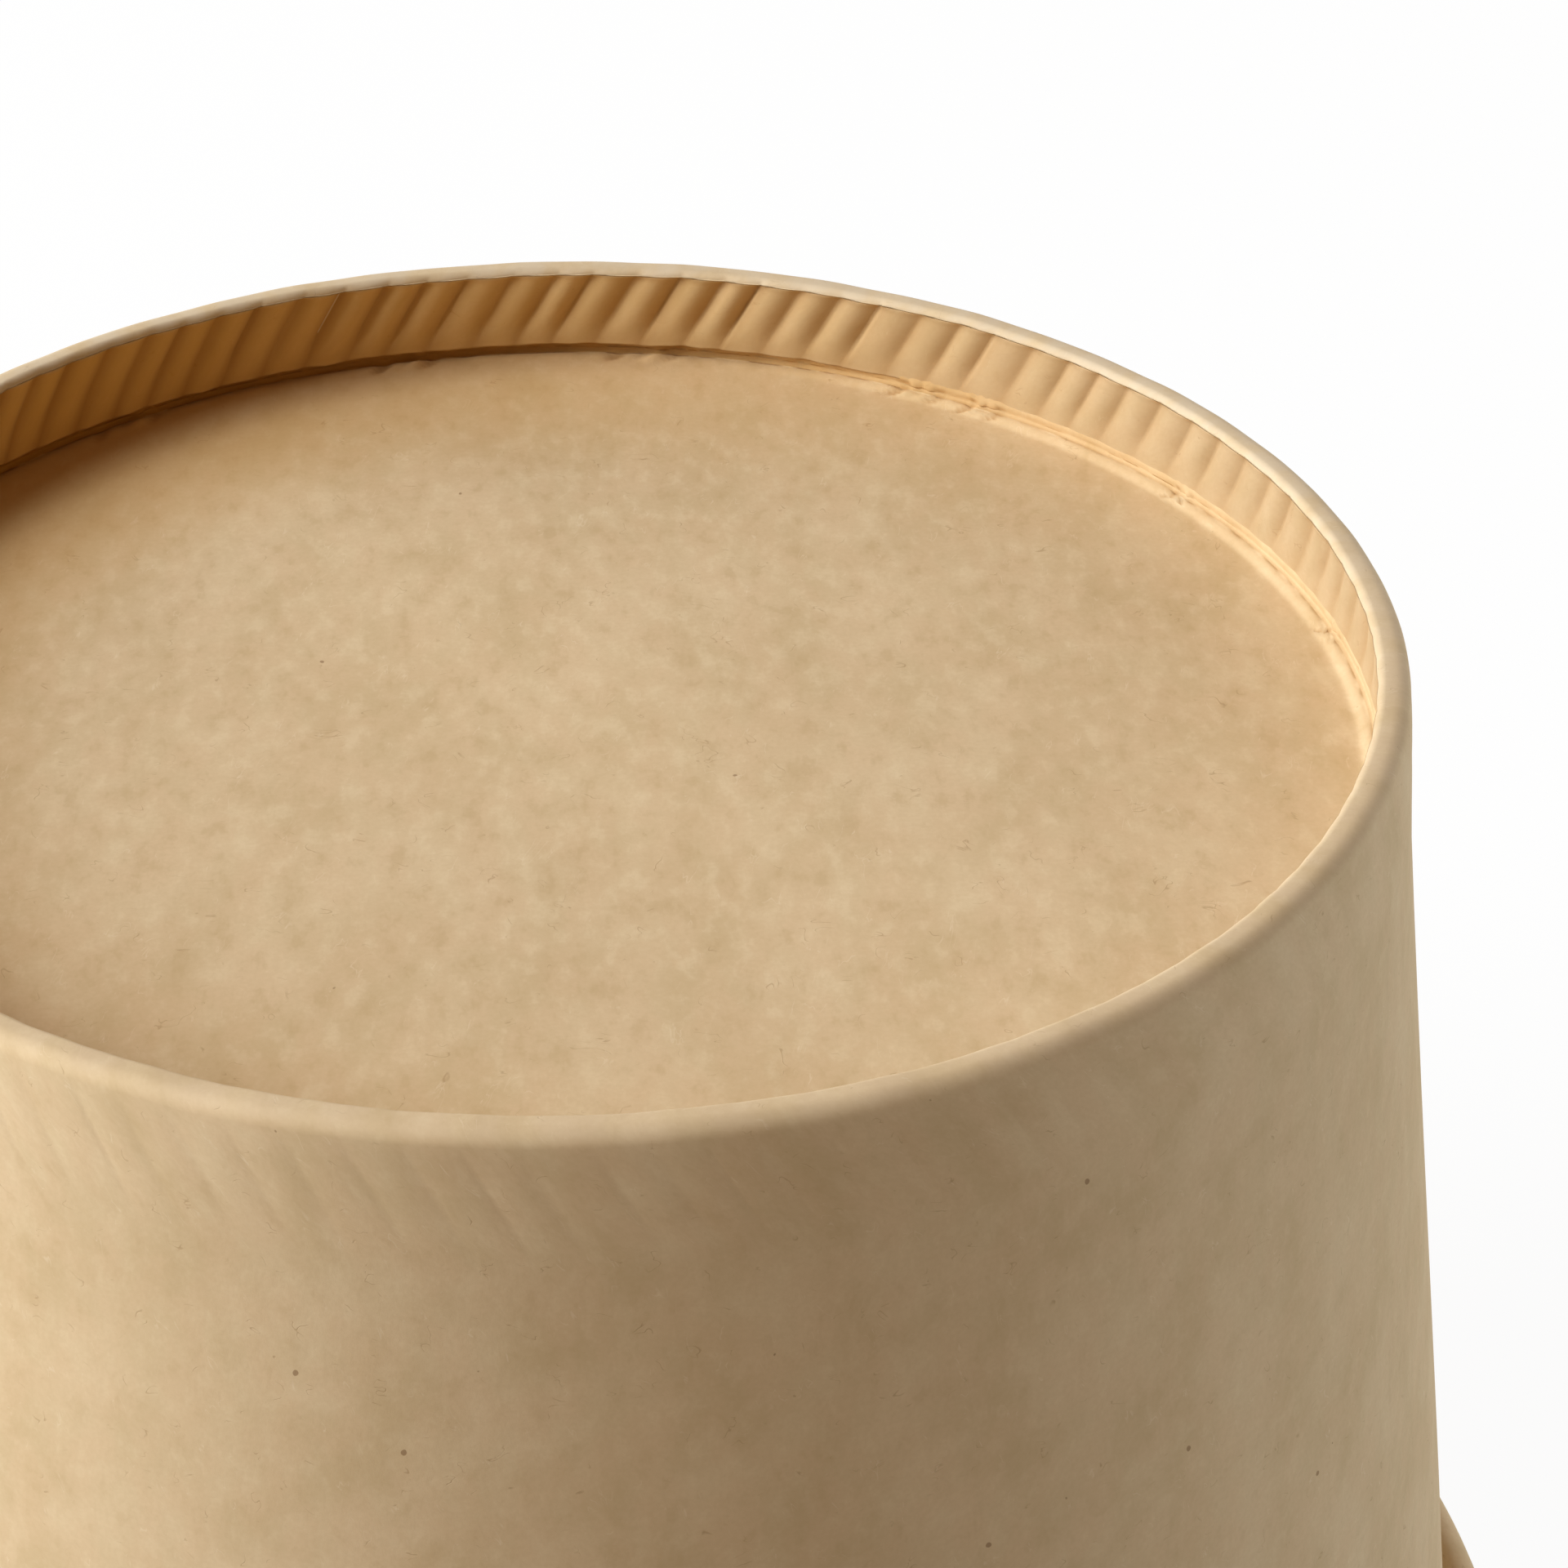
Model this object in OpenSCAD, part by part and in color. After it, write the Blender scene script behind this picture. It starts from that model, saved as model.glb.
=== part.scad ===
// Paper soup container with a rolled rim, standing on its mouth with the base upwards.
// A conical side wall is folded in round the skirt of a bottom disc and crimped with slanted ribs.
// Millimetres. The axis is Z and the mouth lies on the plane z = 0.

/* [Container] */
// Height from the mouth to the base edge
height = 65.5; // [45:0.5:120]
// Outer radius of the side wall at the base edge
base_r = 37.5; // [30:0.5:58]
// Slope of the side wall, in degrees from upright
taper = 7.2; // [3:0.1:9]

/* [Paper] */
// Thickness of the side wall's board
wall_t = 0.48; // [0.4:0.02:0.6]
// Thickness of the bottom disc's board
disc_t = 0.42; // [0.3:0.02:0.6]
// Sealing film between two plies
seal_gap = 0.02; // [0.01:0.01:0.05]

/* [Rolled rim] */
// Outer radius of the roll
roll_r = 1.85; // [1.6:0.05:2.6]
// Space between two turns of the roll
roll_gap = 0.1; // [0.06:0.02:0.2]
// How far the paper's edge runs into its second turn, in degrees
roll_tuck = 110; // [30:5:170]
// Width of the flat that the rim stands on
rim_land = 0.6; // [0.3:0.1:1]

/* [Base] */
// How far the folded flap reaches down from the base edge
flap_l = 4.6; // [3:0.1:6]
// How far the disc's face lies below the flap's raw edge
disc_drop = 0.7; // [0.6:0.1:4]
// Radius of the bend between the disc and its skirt, on the side that shows
disc_bend_r = 0.6; // [0.3:0.05:0.65]
// Inner radius of the fold's outer shoulder
fold_out_bend = 0.27; // [0.15:0.02:0.31]
// Inner radius of the fold's inner shoulder
fold_in_bend = 0.04; // [0.02:0.01:0.08]
// Clearance between the skirt's edge and the start of the fold above it
skirt_gap = 0.05; // [0:0.05:0.5]

/* [Crimp ribs] */
// Number of ribs round the flap
rib_n = 104; // [60:2:116]
// Depth of the valleys between the ribs
rib_depth = 0.3; // [0.1:0.02:0.36]
// Slant of the ribs from the slope of the wall, in degrees
rib_slant = 26; // [0:1:35]
// Depth below the base edge at which the ribs begin
rib_top = 0.6; // [0.6:0.1:1.5]

/* [Side seam] */
// Width of the glued overlap of the side wall
seam_w = 7; // [4:0.5:10]
// Width over which the outer ply climbs onto the inner one
seam_ramp_w = 4; // [2:0.5:6]
// Direction of the outer ply's edge round the axis, in degrees
seam_at = 180; // [0:5:355]

/* [Hidden] */
$fn = 96;
kraft = [0.80, 0.69, 0.53];
kraft_disc = [0.79, 0.68, 0.52];
bleed = 0.4;

// The stack of plies at the base: wall, skirt and flap
stack = 2 * wall_t + disc_t + 2 * seal_gap;
recess = flap_l + disc_drop;

// The fold's two shoulders: outer radii, and distances of their centres from the axis
fold_r_out = wall_t + fold_out_bend;
fold_r_in = wall_t + fold_in_bend;
shoulder_out_x = base_r - fold_r_out * (1 - sin(taper)) / cos(taper);
shoulder_in_x = base_r - (stack - fold_r_in) / cos(taper) + fold_r_in * tan(taper);

// The roll: half turns of shrinking radius about two centres, in the frame of the wall's slope
roll_step = (wall_t + roll_gap) / 2;
roll_x = roll_r - wall_t;
rim_sag = roll_r - sqrt(pow(roll_r, 2) - pow(rim_land / 2, 2));
roll_y = slope_y(height - roll_r + rim_sag, roll_x);

// The disc's face, and the centre of the bend between it and the skirt
disc_z = height - recess;
skirt_x = -wall_t - seal_gap;
bend_z = disc_z + disc_bend_r;
bend_x = base_r + (skirt_x - disc_t - disc_bend_r) / cos(taper) + (height - bend_z) * tan(taper);

// Ribs: crests are arcs that meet in sharp valleys, and their tops are cut flat by the flap's face
rib_mid = (rib_top + flap_l + bleed) / 2;
rib_len = (flap_l + bleed - rib_top) / cos(taper);
rib_face_x = base_r - stack / cos(taper) + rib_mid * tan(taper);
rib_half = PI * rib_face_x / rib_n * cos(rib_slant);
crest_over = 0.05;
crest_rise = rib_depth + crest_over;
crest_r = (pow(rib_half, 2) + pow(crest_rise, 2)) / (2 * crest_rise);

// Seam angles and the ramp's sagitta, halfway up the wall
wall_mid_r = base_r + height / 2 * tan(taper);
seam_deg = seam_w / wall_mid_r * 180 / PI;
seam_ramp_deg = seam_ramp_w / wall_mid_r * 180 / PI;
seam_ramp_sag = pow(seam_ramp_w, 2) / (8 * wall_mid_r);

// In the slope's frame: the place along y of a point that is d below the base edge and x out of the wall
function slope_y(d, x) = -(d + x * sin(taper)) / cos(taper);

// From the slope's frame to the section: x points out of the wall, y runs up along it from the base edge
function from_slope(p) = [
    base_r + p.x * cos(taper) - p.y * sin(taper),
    height + p.x * sin(taper) + p.y * cos(taper)
];

// Points along an arc, at most 10 degrees apart
function arc(c, r, from, to) =
    let (n = ceil(abs(to - from) / 10))
    [for (i = [0 : n]) let (a = from + (to - from) * i / n) c + r * [cos(a), sin(a)]];

function reversed(v) = [for (i = [len(v) - 1 : -1 : 0]) v[i]];

// One face of the wall's board: in is 0 on the face that ends up outside the roll, wall_t on the other
function roll_face(in) = [
    for (p = concat(
        arc([roll_x, roll_y], roll_r - 2 * roll_step - in, 180 + roll_tuck, 180),
        arc([roll_x + roll_step, roll_y], roll_r - roll_step - in, 180, 0),
        arc([roll_x, roll_y], roll_r - in, 360, 180)
    )) let (q = from_slope(p)) [q.x, max(0, q.y)]
];

function fold_face(out) = concat(
    arc([shoulder_out_x, height - fold_r_out], fold_r_out - wall_t + out, taper, 90),
    arc([shoulder_in_x, height - fold_r_in], fold_r_in - wall_t + out, 90, 180 + taper),
    [from_slope([wall_t - stack - out, slope_y(flap_l, -stack)])]
);

// The board runs from the roll up to the fold, and down again as the flap
module wall_section() {
    polygon(concat(roll_face(0), fold_face(0), reversed(fold_face(wall_t)), reversed(roll_face(wall_t))));
}

// The second ply of the seam, which lies on the wall and is sunk half its thickness into it
module seam_section() {
    c = [shoulder_out_x, height - fold_r_out];
    polygon([
        for (p = concat(
            [from_slope([wall_t, roll_y + wall_t])],
            arc(c, fold_r_out + wall_t, taper, 90),
            arc(c, fold_r_out - wall_t / 2, 90, taper),
            [from_slope([-wall_t / 2, roll_y + wall_t])]
        )) [p.x, min(height, p.y)]
    ]);
}

// The glued overlap, and the ramp by which the outer ply climbs onto it
module seam() {
    start = seam_at - seam_deg - seam_ramp_deg;
    difference() {
        rotate(start) rotate_extrude(angle = seam_deg + seam_ramp_deg) seam_section();
        rotate(start + seam_ramp_deg / 2) above_ramp();
    }
}

// What the ramp leaves away: everything over the line from the wall's face up to the outer ply's face
module above_ramp() {
    w = seam_ramp_w;
    translate([base_r - seam_ramp_sag, 0, height]) rotate([0, -taper, 0]) translate([0, 0, -2 * height])
        linear_extrude(height = 3 * height)
            polygon([[-wall_t / 2, -w], [1.5 * wall_t, w], [5 * wall_t, w], [5 * wall_t, -w]]);
}

// One valley between two ribs, slanted in the plane of the flap's face
module rib_valley() {
    w = rib_half - sqrt(2 * crest_r * crest_over) / 2;
    side = [for (i = [0 : 3]) let (y = w * i / 3)
        [crest_r - crest_over - sqrt(pow(crest_r, 2) - pow(rib_half - y, 2)), y]];
    translate([rib_face_x, 0, height - rib_mid]) rotate([0, -taper, 0]) rotate([rib_slant, 0, 0])
        linear_extrude(height = rib_len / cos(rib_slant), center = true)
            polygon(concat(
                side,
                [[-bleed, w], [-bleed, -w]],
                [for (i = [3 : -1 : 1]) [side[i].x, -side[i].y]]
            ));
}

module side_wall() {
    color(kraft) difference() {
        union() {
            rotate_extrude() wall_section();
            seam();
        }
        for (k = [0 : rib_n - 1]) rotate(k * 360 / rib_n) rib_valley();
    }
}

// The disc runs out to its bend and up as the skirt
module disc_section() {
    c = [bend_x, bend_z];
    top = slope_y(fold_r_out + skirt_gap, skirt_x);
    polygon(concat(
        [[0, disc_z - disc_t]],
        arc(c, disc_bend_r + disc_t, -90, taper),
        [from_slope([skirt_x, top]), from_slope([skirt_x - disc_t, top])],
        arc(c, disc_bend_r, taper, -90),
        [[0, disc_z]]
    ));
}

module bottom_disc() {
    color(kraft_disc) rotate_extrude() disc_section();
}

side_wall();
bottom_disc();
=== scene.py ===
"""A kraft paper soup container, standing on its mouth with the base upwards."""

import math

import bpy
import numpy as np
from mathutils import Matrix, Vector


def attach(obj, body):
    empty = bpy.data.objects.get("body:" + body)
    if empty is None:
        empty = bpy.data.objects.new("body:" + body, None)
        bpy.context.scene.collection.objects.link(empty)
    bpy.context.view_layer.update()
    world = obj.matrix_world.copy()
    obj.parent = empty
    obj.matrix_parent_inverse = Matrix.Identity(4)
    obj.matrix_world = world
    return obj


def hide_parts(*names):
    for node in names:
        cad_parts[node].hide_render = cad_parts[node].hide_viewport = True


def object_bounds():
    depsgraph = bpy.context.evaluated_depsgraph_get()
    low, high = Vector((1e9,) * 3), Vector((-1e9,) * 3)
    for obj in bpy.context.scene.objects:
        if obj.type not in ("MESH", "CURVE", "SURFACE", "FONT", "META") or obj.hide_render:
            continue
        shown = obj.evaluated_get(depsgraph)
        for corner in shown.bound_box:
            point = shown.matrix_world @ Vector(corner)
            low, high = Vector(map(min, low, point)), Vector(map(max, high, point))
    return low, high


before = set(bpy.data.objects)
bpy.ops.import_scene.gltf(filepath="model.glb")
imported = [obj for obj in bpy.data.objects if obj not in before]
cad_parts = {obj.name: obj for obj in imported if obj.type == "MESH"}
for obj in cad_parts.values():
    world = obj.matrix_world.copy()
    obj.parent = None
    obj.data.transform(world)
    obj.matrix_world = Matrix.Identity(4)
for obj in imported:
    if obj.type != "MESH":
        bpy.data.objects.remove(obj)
cad_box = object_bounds()

MM = 0.001

# The container, in millimetres, as in the CAD source
HEIGHT = 65.5
BASE_R = 37.5
SLOPE = 7.2
TAPER = math.radians(SLOPE)
WALL_T = 0.48
DISC_T = 0.42
SEAL = 0.02
STACK = 2 * WALL_T + DISC_T + 2 * SEAL
ROLL_R = 1.85
ROLL_GAP = 0.1
ROLL_TUCK = 110
RIM_LAND = 0.6
FLAP_L = 4.6
RECESS = 5.3
FOLD_OUT = WALL_T + 0.27
FOLD_IN = WALL_T + 0.04
RIBS = 104
SEAM_AT = 180.0
SEAM_W = 7.0
SEAM_RAMP = 4.0

# Depth of the ribs, and of their faint print on the outer wall
RIB_DEPTH = 0.38
RIB_PRINT = 0.036
# Degrees that a rib leans for each millimetre of depth, and the depth at which that ends
RIB_LEAN = 0.85
RIB_SHOW = 5.6
# How far the crown stands in over the ribs, and how far the wall is drawn in below the fold
CROWN_LIP = 0.05
WAIST = 0.3
# Radii of the fold's inner edge and of the disc's bend
FOLD_EDGE = 0.34
DISC_BEND = 0.22
# Unevenness of the ribs' places and depths, as shares of one rib
PLACE_JITTER = 0.11
DEPTH_JITTER = 0.16
# Unevenness of the wall, the crown, the flap's raw edge and the disc's corner
WALL_WAVE = 0.08
CROWN_DENT = 0.07
EDGE_RAGGED = 0.05
CORNER_FINE = 0.05
# Where the disc's corner is tight against the flap: how far it is drawn in and lifted
TIGHT_IN = 0.55
TIGHT_LIFT = 0.3
# Places of the columns across one rib, closest together in its valley
PHASES = (0, 0.06, 0.15, 0.3, 0.5, 0.7, 0.85, 0.94)

# What a row of a mesh can do: turn round the axis, carry the ribs, lap at the seam, fray as a raw edge,
# wave, take the crown's dents, and take painted dark shade, a paler fold (worn, with painted sheen) and
# painted warm shade; on the disc, rise as a ridge, pucker, and lie flush with the flap
ROW_KEYS = (
    "shear",
    "rib",
    "lap",
    "edge",
    "wave",
    "crown",
    "press",
    "fold",
    "toast",
    "ridge",
    "pucker",
    "flush",
)

COS, SIN = math.cos(TAPER), math.sin(TAPER)
PITCH = 360.0 / RIBS


def slope_y(depth, x):
    """In the slope's frame: the place along y of a point that is depth below the base edge."""
    return -(depth + x * SIN) / COS


def from_slope(x, y):
    """Distance from the axis and height of a point in the slope's frame."""
    return BASE_R + x * COS - y * SIN, HEIGHT + x * SIN + y * COS


def arc(cx, cy, r, a0, a1, n):
    """n + 1 points along an arc, with the arc's outward direction at each."""
    out = []
    for i in range(n + 1):
        a = math.radians(a0 + (a1 - a0) * i / n)
        out.append((cx + r * math.cos(a), cy + r * math.sin(a), math.cos(a), math.sin(a)))
    return out


def smooth(a, b, x):
    """0 below a, 1 above b, and a soft step between them."""
    t = np.clip((np.asarray(x, float) - a) / (b - a), 0, 1)
    return t * t * (3 - 2 * t)


def ripple(theta, counts, seed):
    """A wave round the axis, between about -1 and 1: one sine for each count, with seeded phases."""
    rng = np.random.default_rng(seed)
    total = np.zeros_like(theta)
    for n in counts:
        total += rng.uniform(0.4, 1.0) * np.sin(n * theta + rng.uniform(0, 2 * math.pi))
    return total / math.sqrt(len(counts))


class Rows:
    """The outline of a paper piece, point by point, with what each point's row of the mesh does."""

    def __init__(self):
        self.rows = []

    def add(self, r, z, nr, nz, **extra):
        row = dict.fromkeys(ROW_KEYS, 0.0)
        row.update(r=r, z=z, nr=nr, nz=nz, **extra)
        self.rows.append(row)

    def column(self, key):
        return np.array([row[key] for row in self.rows])[:, None]


def grid_mesh(name, r, z, theta, u, v, shares, caps=()):
    """A closed mesh from rows of points round the axis.

    The last row joins the first, unless caps names the end rows, which are then closed at the axis.
    """
    n_rows, n_cols = r.shape
    xyz = np.stack([r * np.cos(theta), r * np.sin(theta), z], axis=-1).reshape(-1, 3) * MM
    i = np.arange(n_rows if not caps else n_rows - 1)[:, None]
    j = np.arange(n_cols)[None, :]
    i2, j2 = (i + 1) % n_rows, (j + 1) % n_cols
    quads = np.stack([i * n_cols + j, i * n_cols + j2, i2 * n_cols + j2, i2 * n_cols + j], axis=-1)
    quads = quads.reshape(-1, 4)
    faces = quads.tolist()
    verts = xyz.tolist()
    corner_u = np.stack([u[j], u[j + 1], u[j + 1], u[j]], axis=-1) + np.zeros(i.shape + (1,))
    corner_v = np.stack([v[i], v[i], v[i + 1], v[i + 1]], axis=-1) + np.zeros(j.shape + (1,))
    corners = np.stack([corner_u, corner_v, 0 * corner_u], axis=-1).reshape(-1, 3)
    for row, flip in caps:
        centre = len(verts)
        verts.append((0.0, 0.0, float(z[row].mean()) * MM))
        ring = [row * n_cols + k for k in range(n_cols)]
        for k in range(n_cols):
            a, b = ring[k], ring[(k + 1) % n_cols]
            faces.append([centre, b, a] if flip else [centre, a, b])
    mesh = bpy.data.meshes.new(name)
    mesh.from_pydata(verts, [], faces)
    mesh.polygons.foreach_set("use_smooth", np.ones(len(mesh.polygons), bool))
    sheet = mesh.attributes.new("sheet", "FLOAT_VECTOR", "CORNER")
    values = np.zeros((len(mesh.loops), 3))
    values[: len(corners)] = corners * MM
    sheet.data.foreach_set("vector", values.astype(np.float32).ravel())
    for key, share in shares.items():
        values = np.zeros(len(mesh.vertices))
        values[: n_rows * n_cols] = (share + 0 * r).ravel()
        mesh.attributes.new(key, "FLOAT", "POINT").data.foreach_set("value", values.astype(np.float32))
    mesh.update()
    piece = bpy.data.objects.new(name, mesh)
    bpy.context.scene.collection.objects.link(piece)
    return piece


# The side wall: centres of the fold's shoulders and of the roll
FOLD_OUT_X = BASE_R - FOLD_OUT * (1 - SIN) / COS
FOLD_IN_X = BASE_R - (STACK - FOLD_IN) / COS + FOLD_IN * SIN / COS
FOLD_EDGE_X = BASE_R - (STACK - FOLD_EDGE) / COS + FOLD_EDGE * SIN / COS
ROLL_X = ROLL_R - WALL_T
ROLL_STEP = (WALL_T + ROLL_GAP) / 2
ROLL_SAG = ROLL_R - math.sqrt(ROLL_R**2 - (RIM_LAND / 2) ** 2)
ROLL_Y = slope_y(HEIGHT - ROLL_R + ROLL_SAG, ROLL_X)
# Depths of the rows on each face
FLAP_DEPTHS = (FLAP_L, 4.52, 4.3, 3.9, 3.4, 2.8, 2.2, 1.6, 1.1, 0.8, 0.62, 0.5, 0.4, 0.3)
OUTER_DEPTHS = (1.2, 1.7, 2.3, 3.0, 3.8, 4.6, 5.3, 6.0, 8, 12, 17, 22, 28, 34, 40, 46, 52, 57, 61)
INNER_DEPTHS = (60, 52, 44, 36, 28, 20, 12, 7.5, 6.0, 4.0, 2.0, 0.9)
HIDDEN_DEPTHS = (1.2, 2.2, 3.2, 4.0, 4.5, FLAP_L)


def lean(depth):
    """Degrees that a row is turned round the axis, so that the ribs lean."""
    return RIB_LEAN * min(depth, RIB_SHOW)


def waist(depth):
    """How far the wall is drawn in at a depth below the base edge."""
    return WAIST * float(smooth(1.0, 10, depth) * (1 - 0.6 * smooth(14, 50, depth)))


def near_edge(depth):
    """1 at the flap's raw edge, fading out just above it."""
    return float(smooth(4.4, FLAP_L, depth))


def flap_rows(rows):
    """The flap's visible face, from the raw edge up to the fold."""
    for depth in FLAP_DEPTHS:
        r, z = from_slope(-STACK, slope_y(depth, -STACK))
        begun = 0.2 + 0.8 * float(smooth(0.3, 0.62, depth))
        rows.add(
            r - CROWN_LIP * float(1 - smooth(0.4, 0.8, depth)),
            z,
            COS,
            SIN,
            shear=lean(depth),
            rib=RIB_DEPTH * begun * (1 - 0.9 * float(smooth(2.6, 4.5, depth))),
            edge=near_edge(depth),
            crown=1.0,
            # Painted shade: the flap's rib valleys and its lit +X face are darkened further down the
            # flap.
            press=float(smooth(0.3, 0.6, depth)),
            # Painted warm shade on the flap below the fold.
            toast=float(smooth(0.25, 0.6, depth)),
        )


def fold_rows(rows):
    """The fold's inner and outer shoulders."""
    # The crown's fold takes a paler tone: partly worn paper, partly painted sheen.
    for r, z, nr, nz in arc(FOLD_EDGE_X, HEIGHT - FOLD_EDGE, FOLD_EDGE, 180 + SLOPE, 90, 6):
        depth = HEIGHT - z
        lip = CROWN_LIP * float(smooth(0.0, 0.3, depth))
        rib = 0.2 * RIB_DEPTH * float(smooth(0.0, 0.25, depth))
        rows.add(r - lip, z, -nr, -nz, shear=lean(depth), rib=rib, crown=1.0, fold=1.0)
    for r, z, nr, nz in arc(FOLD_OUT_X, HEIGHT - FOLD_OUT, FOLD_OUT, 90, SLOPE, 8):
        depth = HEIGHT - z
        fold = 1 - float(smooth(0.1, 0.55, depth))
        rows.add(r, z, -nr, -nz, shear=lean(depth), lap=-nr, crown=1.0, fold=fold)


def outer_rows(rows):
    """Down the outer face, with the ribs' faint print near the fold."""
    for depth in OUTER_DEPTHS:
        r, z = from_slope(0, slope_y(depth, 0))
        rib = RIB_PRINT * float(smooth(0.7, 1.7, depth) * (1 - smooth(3.6, 5.8, depth)))
        wave = float(smooth(2, 14, depth))
        rows.add(r - waist(depth), z, -COS, -SIN, shear=lean(depth), rib=rib, lap=-1.0, wave=wave)


def roll_rows(rows):
    """Into the roll along its inner face, round the paper's end, and out along its outer face."""
    turns = (
        (ROLL_X, ROLL_R - WALL_T, 180, 352, 6),
        (ROLL_X + ROLL_STEP, ROLL_R - ROLL_STEP - WALL_T, 0, 174, 5),
        (ROLL_X, ROLL_R - 2 * ROLL_STEP - WALL_T, 180, 180 + ROLL_TUCK, 3),
        (ROLL_X, ROLL_R - 2 * ROLL_STEP, 180 + ROLL_TUCK, 186, 3),
        (ROLL_X + ROLL_STEP, ROLL_R - ROLL_STEP, 180, 6, 9),
        (ROLL_X, ROLL_R, 360, 186, 11),
    )
    for centre_x, radius, start, end, n in turns:
        for x, y, nx, ny in arc(centre_x, ROLL_Y, radius, start, end, n):
            r, z = from_slope(x, y)
            rows.add(r, max(z, 0.0), nx * COS - ny * SIN, nx * SIN + ny * COS, shear=lean(HEIGHT))


def inner_rows(rows):
    """Up the inner face past the disc's skirt, inside the fold, and down the flap's hidden face."""
    for depth in INNER_DEPTHS:
        r, z = from_slope(-WALL_T, slope_y(depth, -WALL_T))
        back = lean(HEIGHT) * depth / HEIGHT
        rows.add(r - waist(depth), z, COS, SIN, shear=back, lap=0.5, wave=-float(smooth(2, 14, depth)))
    for r, z, nr, nz in arc(FOLD_OUT_X, HEIGHT - FOLD_OUT, FOLD_OUT - WALL_T, SLOPE, 90, 4):
        rows.add(r, z, nr, nz)
    for r, z, nr, nz in arc(FOLD_IN_X, HEIGHT - FOLD_IN, FOLD_IN - WALL_T, 90, 180 + SLOPE, 2):
        rows.add(r, z, nr, nz)
    for depth in HIDDEN_DEPTHS:
        lift = 0.06 * float(smooth(3.9, FLAP_L, depth))
        r, z = from_slope(WALL_T - STACK - lift, slope_y(depth, -STACK))
        rows.add(r, z, -COS, -SIN, shear=lean(depth), edge=near_edge(depth))


def wall_outline():
    """Once round the section of the wall's board, from the flap's raw edge to the roll and back."""
    rows = Rows()
    for part in (flap_rows, fold_rows, outer_rows, roll_rows, inner_rows):
        part(rows)
    return rows


def shade_side(theta):
    """How much painted warm shade the recess takes round the axis: most on the -X side, where it lies in
    shade.
    """
    return np.clip(0.62 - 0.56 * np.cos(theta), 0.12, 1)


def tightness(theta):
    """1 round the +X side, where the painted shade is least, where the disc's corner lies tight against
    the flap.
    """
    return 1 - smooth(0.3, 0.52, shade_side(theta))


def rib_valley(phase):
    """How deep the paper is pressed across a rib: 1 in the narrow valley, 0 on the round crest."""
    w = 0.9 * np.abs(2 * (phase % 1.0) - 1)
    sharp = (1 - np.sqrt(1 - w * w)) / (1 - math.sqrt(1 - 0.9**2))
    soft = (0.5 + 0.5 * np.cos(2 * math.pi * phase)) ** 1.5
    return 0.5 * sharp + 0.5 * soft


def seam_rise(angle):
    """The seam's height on the outer and the inner face, as a share of the outer ply's.

    Both faces climb the ramp. The outer face then runs level over the lap and ends in the ply's edge.
    """
    back = (SEAM_AT - angle) % 360.0
    mid_r = BASE_R + HEIGHT / 2 * math.tan(TAPER)
    lap, ramp = math.degrees(SEAM_W / mid_r), math.degrees(SEAM_RAMP / mid_r)
    climb = np.clip((lap + ramp - back) / ramp, 0, 1)
    return climb, np.where(back > lap, climb, 0)


def along(steps, last):
    """Where each row lies along the sheet, from the steps between the rows and the last step."""
    path = np.concatenate([[0], np.cumsum(steps)])
    return np.append(path, path[-1] + last)


def side_wall():
    """The side wall's mesh: a row for each point of its outline, and eight columns for each rib."""
    rows = wall_outline()
    rng = np.random.default_rng(4)
    phase = np.tile(np.array(PHASES), RIBS)
    rib = np.repeat(np.arange(RIBS), len(PHASES))
    start = rib + phase
    start = start + PLACE_JITTER * ripple(2 * math.pi * start / RIBS, (9, 14, 23, 31), 8)
    base = SEAM_AT - 360 + PITCH * start
    angle = base[None, :] + rows.column("shear")
    theta = np.radians(angle)
    depth_of_rib = 1 + DEPTH_JITTER * rng.standard_normal(RIBS)[rib]
    valley = rib_valley(phase)[None, :]
    pressed_or_shaded = valley * rows.column("rib") * depth_of_rib[None, :]
    pressed_or_shaded = pressed_or_shaded * (1 - 0.4 * tightness(theta))
    outer, inner = seam_rise(angle)
    lap = rows.column("lap")
    rise = np.where(lap < 0, outer * lap * WALL_T, inner * np.maximum(lap, 0) * 2 * WALL_T)
    wave = WALL_WAVE * ripple(theta, (3, 5, 8, 11), 21) * rows.column("wave")
    push = pressed_or_shaded + rise + wave
    r = rows.column("r") + rows.column("nr") * push
    z = rows.column("z") + rows.column("nz") * push
    # the crown's small dents only lower it, and the raw edge is a little uneven
    dent = CROWN_DENT * np.clip(0.5 + 0.5 * ripple(theta, (7, 13, 19, 31, 43, 57), 9), 0, 1)
    z -= dent * rows.column("crown")
    z += rows.column("edge") * EDGE_RAGGED * ripple(theta, (23, 41, 67, 97, 139, 173), 33)
    z = np.clip(z, 0, HEIGHT)
    r = np.minimum(r, cad_box[1][1] / MM - 0.002)
    path = along(np.hypot(np.diff(rows.column("r")[:, 0]), np.diff(rows.column("z")[:, 0])), 0.5)
    u = np.append(np.radians(base), np.radians(base[0] + 360)) * (BASE_R + 4)
    shares = {
        "edge": rows.column("edge"),
        # Painted shade: the flap's rib valleys are darkened, most on the shaded -X side.
        "press": valley * rows.column("press") * (0.3 + 0.7 * shade_side(theta)),
        # The fold's paler tone: partly worn paper, partly painted sheen, stronger on the far side.
        "fold": rows.column("fold") * (0.3 + 0.7 * smooth(-0.4, 0.6, np.sin(theta))),
        # Painted warm shade on the flap, most where the recess lies in shade.
        "toast": rows.column("toast") * shade_side(theta),
        # Painted shade that dulls the flap's face where the key lamp lights it, on the +X side.
        "lit_side_shade": rows.column("press") * smooth(-0.2, 0.5, np.cos(theta)),
    }
    return grid_mesh("side_wall_paper", r, z, theta, u, path, shares)


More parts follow.
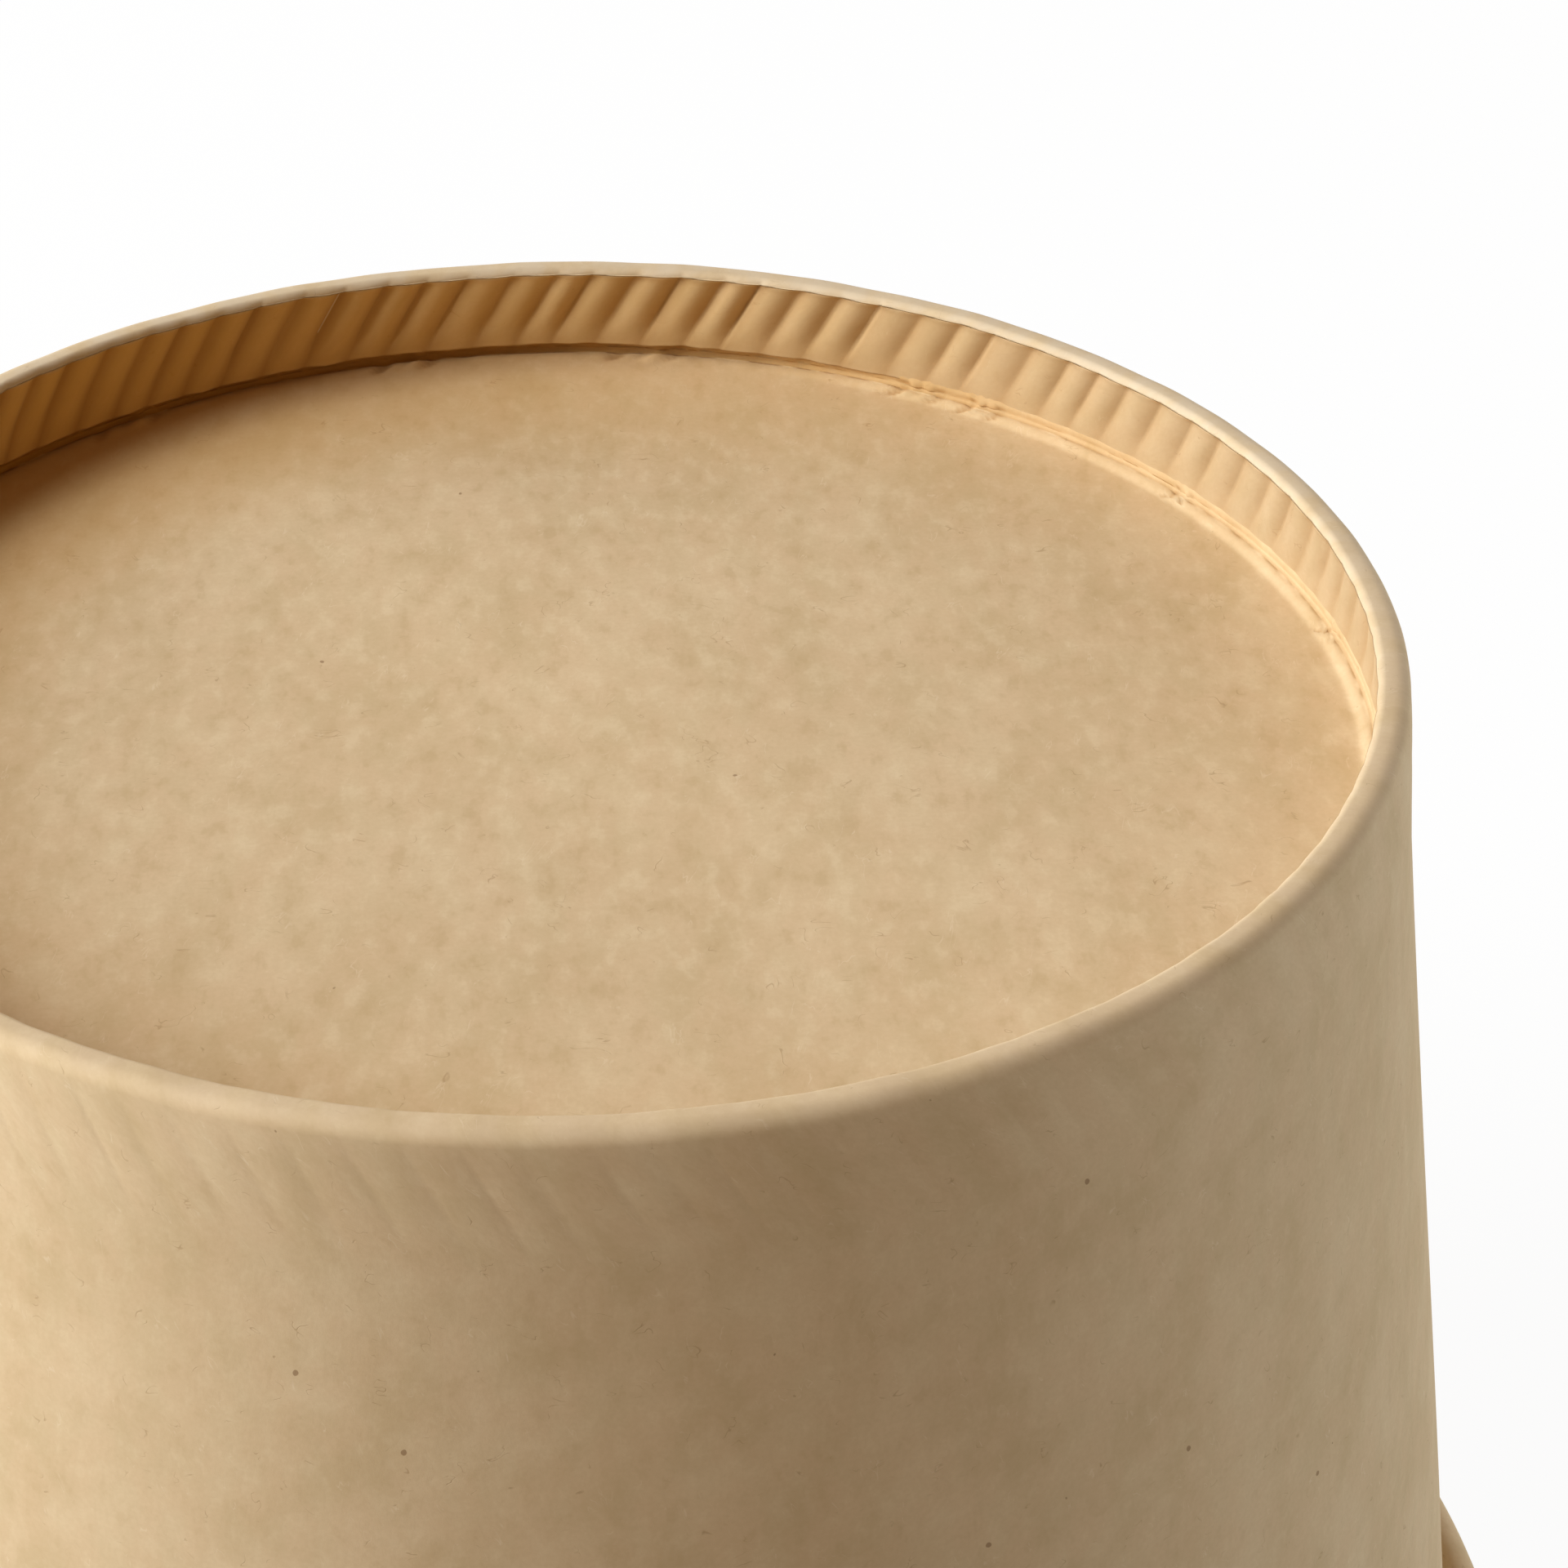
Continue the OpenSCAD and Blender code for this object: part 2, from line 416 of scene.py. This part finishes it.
# The bottom disc. Crumples of its corner: direction and width in degrees, bulge in millimetres
CRUMPLES = (
    (128, 3.0, 0.26),
    (104, 2.4, 0.36),
    (84, 2.8, 0.26),
    (61, 2.0, 0.28),
    (55, 1.5, 0.34),
    (34, 0.8, 0.34),
    (11, 0.9, 0.24),
)


DISC_COLUMNS = 900
FACE_RADII = (2, 5, 8, 11, 14, 17, 20, 22.5, 25, 27, 28.8, 30.2, 31.4, 32.4, 33.3, 34.0)
SKIRT_DEPTHS = (5.0, 4.88, 4.76, 4.62, 4.45, 3.6, 2.2, 0.9)
SKIRT_X = -WALL_T - SEAL
BEND_Z = HEIGHT - RECESS + DISC_BEND
BEND_R = BASE_R + (SKIRT_X - DISC_T - DISC_BEND) / COS + (HEIGHT - BEND_Z) * SIN / COS


def face_rows(rows):
    """From the centre of the visible face out to the corner."""
    for r in FACE_RADII:
        # Painted warm shade toward the corner, which lies in the rim's shadow.
        rows.add(r, HEIGHT - RECESS, 0, 1, wave=1.0, toast=0.5 * float(smooth(22, 34, r)))
    for i in range(9):
        r = BEND_R - 1.5 + i * 0.19
        near = float(smooth(0, 8, i))
        ridge = math.exp(-(((r - BEND_R + 0.45) / 0.4) ** 2))
        # Painted warm shade, stronger at the corner.
        rows.add(r, HEIGHT - RECESS, 0, 1, wave=1.0, ridge=ridge, flush=near, toast=0.5 + 0.2 * near)


def skirt_rows(rows):
    """Round the bend and up the skirt's visible face."""
    for r, z, nr, nz in arc(BEND_R, BEND_Z, DISC_BEND, -84, SLOPE, 8):
        pucker = float(smooth(0.0, 0.3, BEND_Z - z))
        # The bend and the skirt take the strongest painted warm shade, lying in shade under the flap's
        # raw edge.
        rows.add(r, z, -nr, -nz, pucker=pucker, flush=1.0, wave=1.0, toast=1.4)
    for depth in SKIRT_DEPTHS:
        r, z = from_slope(SKIRT_X - DISC_T, slope_y(depth, SKIRT_X))
        pucker = float(smooth(4.4, 4.9, depth))
        # Painted warm shade on the skirt, in shade under the flap's raw edge.
        rows.add(r, z, -1, 0, pucker=pucker, flush=float(smooth(4.1, 4.5, depth)), toast=1.4)


def back_rows(rows):
    """Over the skirt's end, down its hidden face, and back along the disc's hidden face."""
    top = slope_y(FOLD_OUT + 0.05, SKIRT_X)
    for x in (SKIRT_X - DISC_T, SKIRT_X):
        r, z = from_slope(x, top)
        rows.add(r, z, 0, 1)
    for depth in (2.2, 3.6):
        r, z = from_slope(SKIRT_X, slope_y(depth, SKIRT_X))
        rows.add(r, z, 1, 0)
    for r, z, nr, nz in arc(BEND_R, BEND_Z, DISC_BEND + DISC_T, SLOPE, -90, 8):
        rows.add(r, z, nr, nz)
    for r in (33, 28, 20, 10, 2):
        rows.add(r, HEIGHT - RECESS - DISC_T, 0, -1, wave=1.0)


def disc_outline():
    """Round the section of the disc's board, from the centre of one face to the centre of the other."""
    rows = Rows()
    for part in (face_rows, skirt_rows, back_rows):
        part(rows)
    return rows


def crumple(angle):
    """The bulges and creases of the corner at its named places, in millimetres."""
    total = np.zeros_like(angle)
    for at, width, size in CRUMPLES:
        t = ((angle - at + 180) % 360 - 180) / width
        total += size * np.exp(-t * t) * (0.55 * np.cos(3.1 * t + 0.6) + 0.45 * np.cos(7.3 * t + at))
    return total


def sheet_waves(x, y):
    """The slow unevenness of the disc's board."""
    return 0.10 * np.sin(x / 9.0 + 0.6) * np.sin(y / 7.0 + 1.1) + 0.06 * np.sin(x / 4.3 + y / 5.9)


def bottom_disc():
    """The bottom disc's mesh, with its crumpled corner."""
    rows = disc_outline()
    angle = 180 + np.arange(DISC_COLUMNS) * 360.0 / DISC_COLUMNS
    theta = np.radians(angle)[None, :] + 0 * rows.column("r")
    degrees = angle[None, :] + 0 * rows.column("r")
    r, z = rows.column("r") + 0 * theta, rows.column("z") + 0 * theta
    sheet = sheet_waves(r * np.cos(theta), r * np.sin(theta))
    sheet = sheet * (1 - 0.8 * smooth(30, 35, r)) * rows.column("wave")
    ragged = ripple(theta, (29, 53, 71, 113, 151), 5)
    dent = crumple(degrees + 1.6 * rows.column("flush"))
    tight = tightness(theta)
    ridge = rows.column("ridge") * ((0.06 + 0.05 * ragged) * (1 - 0.9 * tight) + 0.9 * dent)
    z = z + sheet + ridge
    fine = CORNER_FINE * ripple(theta, (37, 61, 89, 131, 179), 6) * (1 - 0.9 * tight)
    push = (fine + 0.5 * dent) * rows.column("pucker")
    r = r + rows.column("nr") * push
    z = z + rows.column("nz") * push
    # round the +X side the corner is drawn in against the flap's raw edge and lifted
    r = r - (TIGHT_IN * tight + 0.6 * np.abs(dent)) * rows.column("flush")
    up = np.clip((HEIGHT - FLAP_L - z) / (RECESS - FLAP_L), 0, 1)
    z = z + TIGHT_LIFT * tight * rows.column("flush") ** 2 * up
    path = along(np.abs(np.diff(rows.column("r")[:, 0])) + 0.01, 1)
    u = np.append(np.radians(angle), np.radians(angle[0] + 360)) * 30
    # Painted shade in the crumples' creases.
    crease_shade = smooth(0.02, 0.12, -dent) * np.maximum(rows.column("ridge"), rows.column("pucker"))
    # Painted warm shade near the corner, most on the -X side, least on the near side.
    warm_shade_share = rows.column("toast") * shade_side(theta) * (0.3 + 0.7 * smooth(-0.8, 0.3, np.sin(theta)))
    pressed_or_shaded = np.clip(crease_shade + warm_shade_share, 0, 1)
    shares = {"edge": 0.0, "press": pressed_or_shaded, "fold": 0.0, "toast": warm_shade_share, "lit_side_shade": 0.0}
    caps = ((0, True), (len(rows.rows) - 1, False))
    return grid_mesh("bottom_disc_paper", r, z, theta, u, path, shares, caps)


class Nodes:
    """Short calls for building a node tree."""

    def __init__(self, material):
        self.tree = material.node_tree
        self.tree.nodes.clear()

    def new(self, kind, **props):
        node = self.tree.nodes.new(kind)
        for key, value in props.items():
            setattr(node, key, value)
        return node

    def link(self, a, b):
        self.tree.links.new(a, b)

    def put(self, socket, value):
        if isinstance(value, bpy.types.NodeSocket):
            self.link(value, socket)
        else:
            socket.default_value = value

    def math(self, op, a, b=0.0, c=0.0):
        node = self.new("ShaderNodeMath", operation=op)
        for socket, value in zip(node.inputs, (a, b, c)):
            self.put(socket, value)
        return node.outputs[0]

    def carried(self, name):
        """What the mesh carries under a name."""
        return self.new("ShaderNodeAttribute", attribute_type="GEOMETRY", attribute_name=name).outputs

    def share(self, name):
        """A share from 0 to 1 that the mesh carries at each point."""
        return self.carried(name)["Fac"]

    def looked_at(self):
        """1 where the camera sees the place, directly or by reflection, and 0 for other light."""
        seen = self.new("ShaderNodeLightPath").outputs
        mirrored = self.math("MAXIMUM", seen["Is Glossy Ray"], seen["Is Transmission Ray"])
        return self.math("MAXIMUM", seen["Is Camera Ray"], mirrored)

    def noise(self, vector, scale, detail=3.0, rough=0.5, distortion=0.0):
        node = self.new("ShaderNodeTexNoise")
        self.link(vector, node.inputs["Vector"])
        node.inputs["Scale"].default_value = scale
        node.inputs["Detail"].default_value = detail
        node.inputs["Roughness"].default_value = rough
        node.inputs["Distortion"].default_value = distortion
        return node.outputs["Fac"]

    def stretch(self, vector, scale, turn=0.0):
        node = self.new("ShaderNodeMapping")
        self.link(vector, node.inputs["Vector"])
        node.inputs["Scale"].default_value = scale
        node.inputs["Rotation"].default_value = (0, 0, turn)
        return node.outputs["Vector"]

    def ramp(self, value, low, high, to_low=0.0, to_high=1.0):
        node = self.new("ShaderNodeMapRange", interpolation_type="SMOOTHSTEP")
        self.link(value, node.inputs["Value"])
        limits = {"From Min": low, "From Max": high, "To Min": to_low, "To Max": to_high}
        for key, number in limits.items():
            node.inputs[key].default_value = number
        return node.outputs["Result"]

    def mix(self, factor, a, b, blend="MIX"):
        node = self.new("ShaderNodeMix", data_type="RGBA", blend_type=blend)
        self.put(node.inputs["Factor"], factor)
        self.put(node.inputs[6], a)
        self.put(node.inputs[7], b)
        return node.outputs[2]


def srgb(r, g, b):
    """A display colour, 0 to 255, as the linear colour that shows as it."""

    def one(c):
        c /= 255.0
        return c / 12.92 if c <= 0.04045 else ((c + 0.055) / 1.055) ** 2.4

    return (one(r), one(g), one(b), 1.0)


def fibre_lines(n, vector, scale, width, turn):
    """Thin curved hairs: the level line of a stretched noise, broken up by another noise."""
    field = n.noise(n.stretch(vector, (1.0, 2.2, 1.0), turn), scale, 2.0, 0.55, 0.6)
    line = n.math("ABSOLUTE", n.math("SUBTRACT", field, 0.5))
    line = n.ramp(line, 0.0, width, 1.0, 0.0)
    breaks = n.ramp(n.noise(n.stretch(vector, (1.0, 1.0, 1.0), turn + 1.0), scale * 1.7, 1.0), 0.6, 0.68)
    return n.math("MULTIPLY", line, breaks)


def kraft(name, use_sheet, grain_along, fleck):
    """Uncoated kraft board: mottled pulp, light and dark fibres, a few specks, and a soft relief, with
    painted shade and sheen from the mesh's shares.
    """
    material = bpy.data.materials.new(name)
    material.use_nodes = True
    n = Nodes(material)
    if use_sheet:
        place = n.carried("sheet")["Vector"]
    else:
        place = n.new("ShaderNodeTexCoord").outputs["Object"]
    laid = n.stretch(place, (1.0, grain_along, 1.0))
    cloud = n.noise(laid, 230.0, 2.0, 0.5)
    hue = n.noise(n.stretch(laid, (1.0, 1.0, 1.0), 1.3), 480.0, 2.0, 0.5)
    flock = n.noise(laid, 900.0, 4.0, 0.6)
    grain = n.noise(place, 3600.0, 2.0, 0.6)
    dark_hair = fibre_lines(n, laid, 560.0, 0.010, 0.6)
    pale_hair = fibre_lines(n, n.stretch(laid, (1, 1, 1), 2.1), 640.0, 0.014, 0.2)
    speck = n.ramp(n.noise(place, 1300.0, 0.0), 0.885, 0.9)

    tint = n.mix(n.ramp(cloud, 0.3, 0.7), srgb(202, 177, 138), srgb(213, 189, 152))
    tint = n.mix(n.ramp(hue, 0.35, 0.65, 0.0, 0.5), tint, srgb(212, 184, 147))
    tint = n.mix(n.ramp(flock, 0.48, 0.7, 0.0, fleck), tint, srgb(226, 206, 170))
    tint = n.mix(n.ramp(flock, 0.48, 0.28, 0.0, fleck), tint, srgb(186, 158, 116))
    tint = n.mix(n.ramp(grain, 0.35, 0.65, 0.0, 0.1), tint, srgb(180, 150, 108))
    tint = n.mix(n.math("MULTIPLY", dark_hair, 0.35), tint, srgb(140, 105, 66))
    tint = n.mix(n.math("MULTIPLY", pale_hair, 0.3), tint, srgb(232, 214, 184))
    tint = n.mix(n.math("MULTIPLY", speck, 0.6), tint, srgb(120, 84, 50))
    tint = n.mix(n.math("MULTIPLY", n.share("edge"), 0.5), tint, srgb(226, 205, 170))
    # Painted warm shade where the recess lies in shade.
    tint = n.mix(n.math("MULTIPLY", n.share("toast"), 0.7), tint, srgb(221, 169, 70))
    # Painted shade that dulls the flap where the key lamp lights it.
    tint = n.mix(n.math("MULTIPLY", n.share("lit_side_shade"), 0.32), tint, srgb(150, 125, 95))
    # Painted dark shade in rib valleys, creases and the shaded corner.
    tint = n.mix(n.math("MULTIPLY", n.share("press"), 0.62), tint, srgb(158, 110, 54))
    # The fold is paler: partly worn paper, partly painted sheen.
    wear_and_sheen = n.math("MULTIPLY", n.share("fold"), n.ramp(hue, 0.3, 0.65, 0.1, 0.6))
    tint = n.mix(wear_and_sheen, tint, srgb(212, 198, 174))

    relief = n.math("MULTIPLY", cloud, 0.35)
    relief = n.math("MULTIPLY_ADD", flock, 0.4, relief)
    relief = n.math("MULTIPLY_ADD", grain, 0.12, relief)
    relief = n.math("MULTIPLY_ADD", dark_hair, 0.15, relief)
    bump = n.new("ShaderNodeBump")
    bump.inputs["Strength"].default_value = 0.3
    bump.inputs["Distance"].default_value = 0.0001
    n.link(relief, bump.inputs["Height"])

    shader = n.new("ShaderNodeBsdfPrincipled")
    n.link(tint, shader.inputs["Base Color"])
    n.link(n.ramp(flock, 0.3, 0.7, 0.74, 0.9), shader.inputs["Roughness"])
    shader.inputs["Specular IOR Level"].default_value = 0.16
    n.link(bump.outputs["Normal"], shader.inputs["Normal"])
    out = n.new("ShaderNodeOutputMaterial")
    n.link(shader.outputs[0], out.inputs["Surface"])
    return material


def floor_material():
    """A floor that is seen as nearly white, keeps the shadow, and throws little light back."""
    material = bpy.data.materials.new("pale_floor")
    material.use_nodes = True
    n = Nodes(material)
    looked_at = n.looked_at()
    plain = n.new("ShaderNodeBsdfDiffuse")
    n.link(n.mix(looked_at, (0.3, 0.25, 0.19, 1), (0.9, 0.9, 0.9, 1)), plain.inputs["Color"])
    white = n.new("ShaderNodeEmission")
    white.inputs["Color"].default_value = (1, 1, 1, 1)
    share = n.math("MULTIPLY", looked_at, 0.95)
    mix = n.new("ShaderNodeMixShader")
    n.link(share, mix.inputs[0])
    n.link(plain.outputs[0], mix.inputs[1])
    n.link(white.outputs[0], mix.inputs[2])
    out = n.new("ShaderNodeOutputMaterial")
    n.link(mix.outputs[0], out.inputs["Surface"])
    return material


def floor():
    """The surface that the container stands on."""
    bpy.ops.mesh.primitive_plane_add(size=6.0, location=(0, 0, 0))
    plane = bpy.context.object
    plane.name = "floor"
    plane.data.materials.append(floor_material())


def lamp(name, azimuth, elevation, distance, width, tall, watts, colour):
    """A rectangular soft light that faces the container's base."""
    data = bpy.data.lights.new(name, "AREA")
    data.shape = "RECTANGLE"
    data.size = width
    data.size_y = tall
    data.energy = watts
    data.color = colour
    light = bpy.data.objects.new(name, data)
    a, e = math.radians(azimuth), math.radians(elevation)
    aim = Vector((0, 0, 0.05))
    away = Vector((math.cos(a) * math.cos(e), math.sin(a) * math.cos(e), math.sin(e)))
    light.location = aim + distance * away
    light.rotation_euler = (aim - light.location).to_track_quat("-Z", "Y").to_euler()
    bpy.context.scene.collection.objects.link(light)


def surroundings(strength, colour):
    """Soft warm light from all round, which is white where it is looked at."""
    world = bpy.data.worlds.new("studio")
    world.use_nodes = True
    n = Nodes(world)
    looked_at = n.looked_at()
    sky = n.new("ShaderNodeBackground")
    n.link(n.mix(looked_at, colour, (1, 1, 1, 1)), sky.inputs["Color"])
    n.link(n.math("MULTIPLY_ADD", looked_at, 1 - strength, strength), sky.inputs["Strength"])
    out = n.new("ShaderNodeOutputWorld")
    n.link(sky.outputs[0], out.inputs["Surface"])
    bpy.context.scene.world = world


# The camera, fitted to the photo: angles in degrees, and the distance in base radii
CAMERA_ANGLES = (30.32, 3.05, -2.36, 0.95)
CAMERA_DISTANCE = 4.863


def camera():
    """The photograph's view: above the near side of the base, turned a little to the left of the axis."""
    elevation, pan, tilt, roll = (math.radians(a) for a in CAMERA_ANGLES)
    distance = CAMERA_DISTANCE * BASE_R * MM
    look = Vector((0, math.cos(elevation), -math.sin(elevation)))
    place = Vector((0, 0, HEIGHT * MM)) - look * distance
    right = Vector((1, 0, 0))
    down = look.cross(right)
    turn = Matrix.Rotation(pan, 3, down) @ Matrix.Rotation(tilt, 3, right)
    look, right, down = turn @ look, turn @ right, turn @ down
    spin = Matrix.Rotation(roll, 3, look)
    right, down = spin @ right, spin @ down
    data = bpy.data.cameras.new("camera")
    data.lens = 93.75
    data.sensor_width = 36
    data.clip_start = 0.01
    data.clip_end = 20
    cam = bpy.data.objects.new("camera", data)
    basis = Matrix((right, -down, -look)).transposed()
    cam.matrix_world = Matrix.Translation(place) @ basis.to_4x4()
    bpy.context.scene.collection.objects.link(cam)
    bpy.context.scene.camera = cam


def dress(piece, node, material):
    """Give a piece its material and body, and hide the CAD part that it stands for."""
    piece.data.materials.append(material)
    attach(piece, "root")
    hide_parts(node)


dress(side_wall(), "side_wall", kraft("kraft_wall", True, 0.75, 0.25))
dress(bottom_disc(), "bottom_disc", kraft("kraft_disc", False, 0.55, 0.42))

floor()
camera()
surroundings(0.19, (1.0, 0.56, 0.22, 1))
lamp("key", 187, 29.5, 1.0, 0.65, 0.9, 19.6, (0.9, 0.955, 1.0))
lamp("back", 62, 14, 1.0, 0.6, 0.3, 3.6, (0.9, 0.97, 1.0))
lamp("card", 355, -2, 0.7, 0.6, 0.05, 2.7, (0.74, 0.88, 1.0))
bpy.context.scene.view_settings.view_transform = "Standard"
